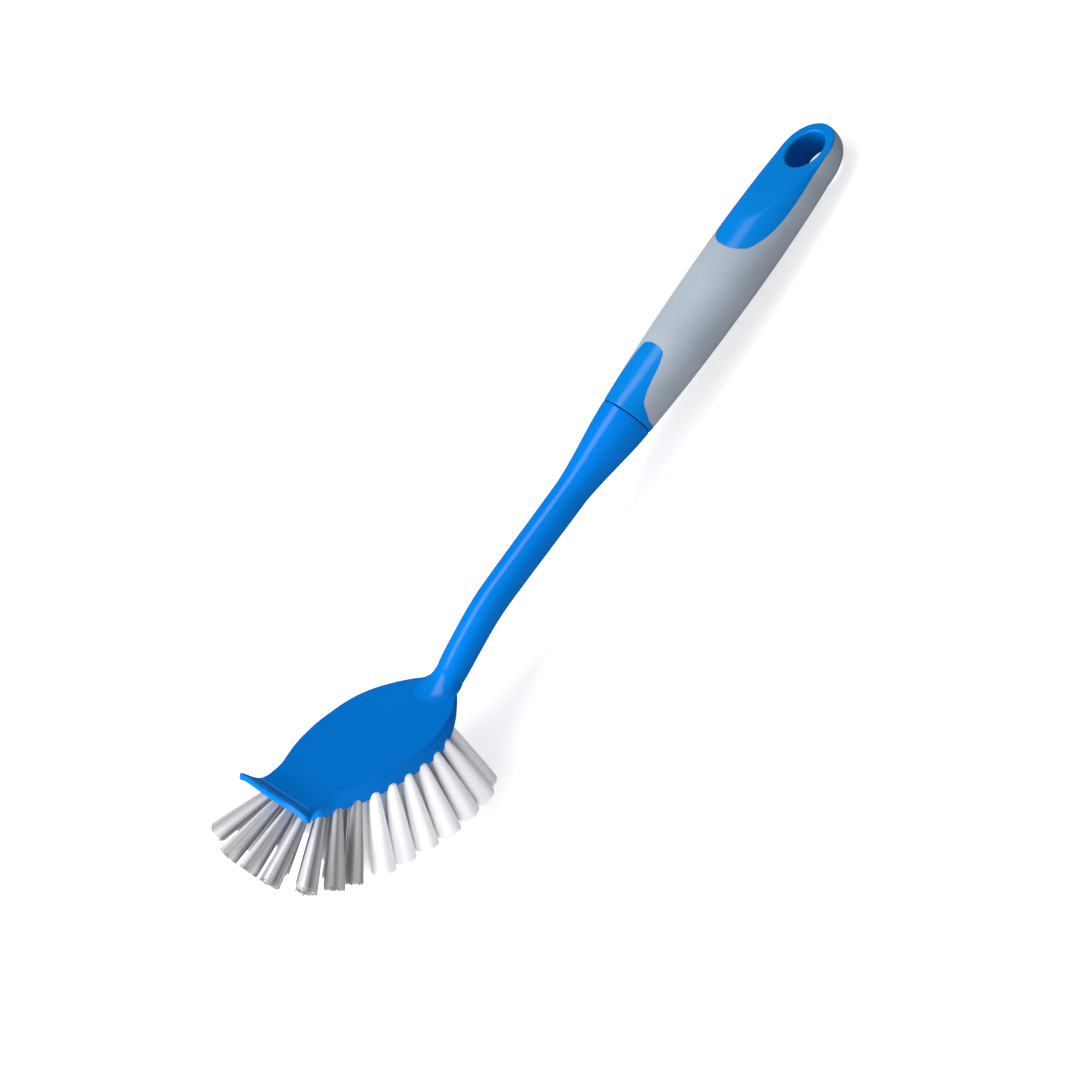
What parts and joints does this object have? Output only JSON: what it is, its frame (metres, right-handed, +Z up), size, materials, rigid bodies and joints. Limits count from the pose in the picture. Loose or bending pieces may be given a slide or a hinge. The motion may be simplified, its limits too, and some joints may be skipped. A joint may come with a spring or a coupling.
{
  "type": "dish brush",
  "caption": "Long-handled kitchen brush: oval head with a scraping lip, fanned bristle tufts, bent shaft and a soft-gripped handle with a hang hole.",
  "frame": {"origin": "middle of the bounding box's bottom face, on the table the brush lies on", "axes": "+X along the brush from the bristles to the handle's end, +Z up, Y across; the XZ plane is the plane of symmetry"},
  "size_m": [0.301, 0.0559, 0.0697],
  "materials": {
    "head_plastic": "glossy",
    "handle_plastic": "glossy",
    "grip_rubber": "matte",
    "white_bristle": "satin",
    "grey_bristle": "satin"
  },
  "bodies": {
    "root": {"head_and_shaft": "head_plastic", "handle_core": "handle_plastic", "soft_grip": "grip_rubber", "white_tuft_01": "white_bristle", "white_tuft_02": "white_bristle", "white_tuft_03": "white_bristle", "white_tuft_04": "white_bristle", "white_tuft_05": "white_bristle", "white_tuft_06": "white_bristle", "white_tuft_07": "white_bristle", "white_tuft_08": "white_bristle", "white_tuft_09": "white_bristle", "white_tuft_10": "white_bristle", "white_tuft_11": "white_bristle", "white_tuft_12": "white_bristle", "white_tuft_13": "white_bristle", "white_tuft_14": "white_bristle", "white_tuft_15": "white_bristle", "white_tuft_16": "white_bristle", "white_tuft_17": "white_bristle", "white_tuft_18": "white_bristle", "white_tuft_19": "white_bristle", "white_tuft_20": "white_bristle", "white_tuft_21": "white_bristle", "white_tuft_22": "white_bristle", "white_tuft_23": "white_bristle", "white_tuft_24": "white_bristle", "white_tuft_25": "white_bristle", "white_tuft_26": "white_bristle", "white_tuft_27": "white_bristle", "white_tuft_28": "white_bristle", "white_tuft_29": "white_bristle", "white_tuft_30": "white_bristle", "white_tuft_31": "white_bristle", "grey_tuft_01": "grey_bristle", "grey_tuft_02": "grey_bristle", "grey_tuft_03": "grey_bristle", "grey_tuft_04": "grey_bristle", "grey_tuft_05": "grey_bristle", "grey_tuft_06": "grey_bristle", "grey_tuft_07": "grey_bristle", "grey_tuft_08": "grey_bristle", "grey_tuft_09": "grey_bristle", "grey_tuft_10": "grey_bristle", "grey_tuft_11": "grey_bristle", "grey_tuft_12": "grey_bristle", "grey_tuft_13": "grey_bristle", "grey_tuft_14": "grey_bristle", "grey_tuft_15": "grey_bristle"}
  },
  "joints": []
}
